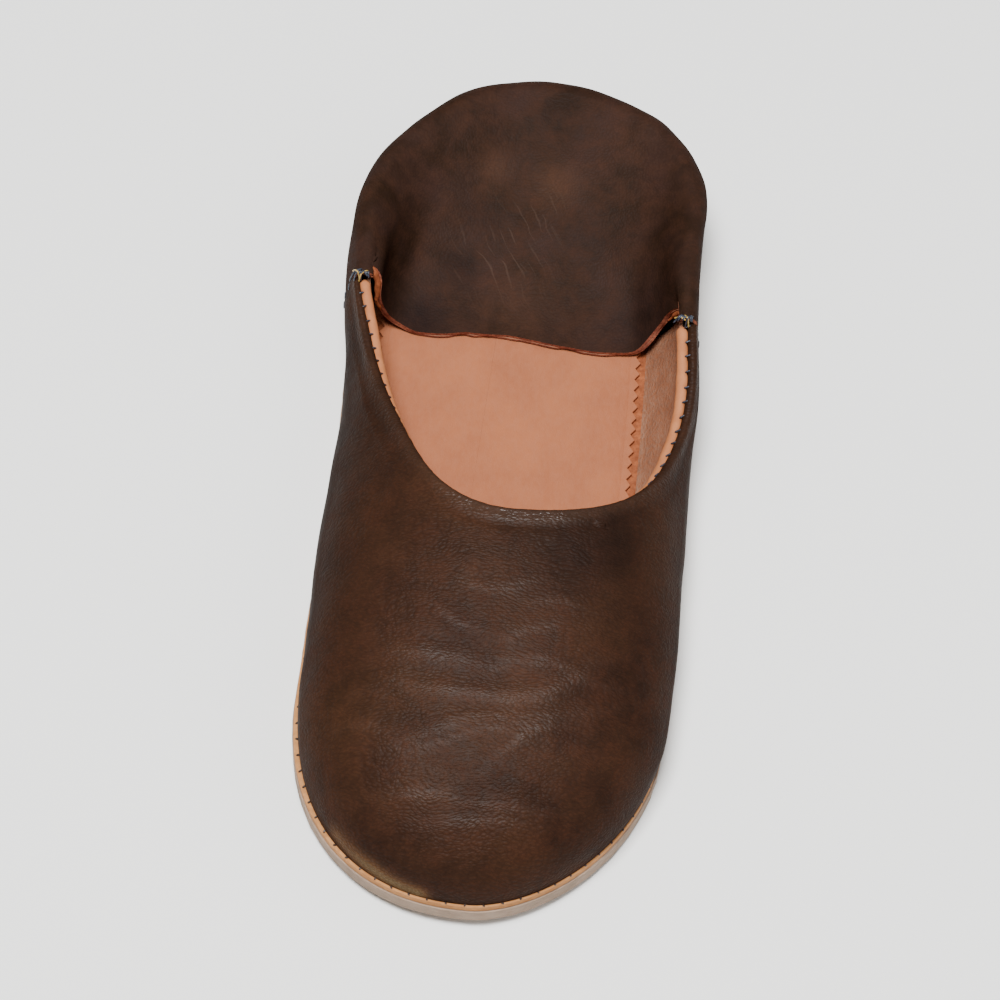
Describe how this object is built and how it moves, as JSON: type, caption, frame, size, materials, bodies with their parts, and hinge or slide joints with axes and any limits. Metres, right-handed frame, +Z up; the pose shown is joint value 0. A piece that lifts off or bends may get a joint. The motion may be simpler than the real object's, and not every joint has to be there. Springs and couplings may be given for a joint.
{
  "type": "babouche slipper",
  "caption": "Left leather babouche: a flat slipper with a smooth closed front, a wide open collar and a heel quarter folded down inside.",
  "frame": {"origin": "on the floor, under the middle of the sole's length and of its width", "axes": "+Z up, -Y towards the toe, +X towards the little-toe side"},
  "size_m": [0.1085, 0.2727, 0.0501],
  "materials": {
    "outsole_leather": "matt, raw and slightly rough",
    "midsole_leather": "matt, natural",
    "insole_leather": "matt, natural",
    "upper_leather": "soft sheen, dyed and fine-grained"
  },
  "bodies": {
    "root": {"outsole": "outsole_leather", "midsole": "midsole_leather", "insole": "insole_leather", "upper": "upper_leather"}
  },
  "joints": []
}
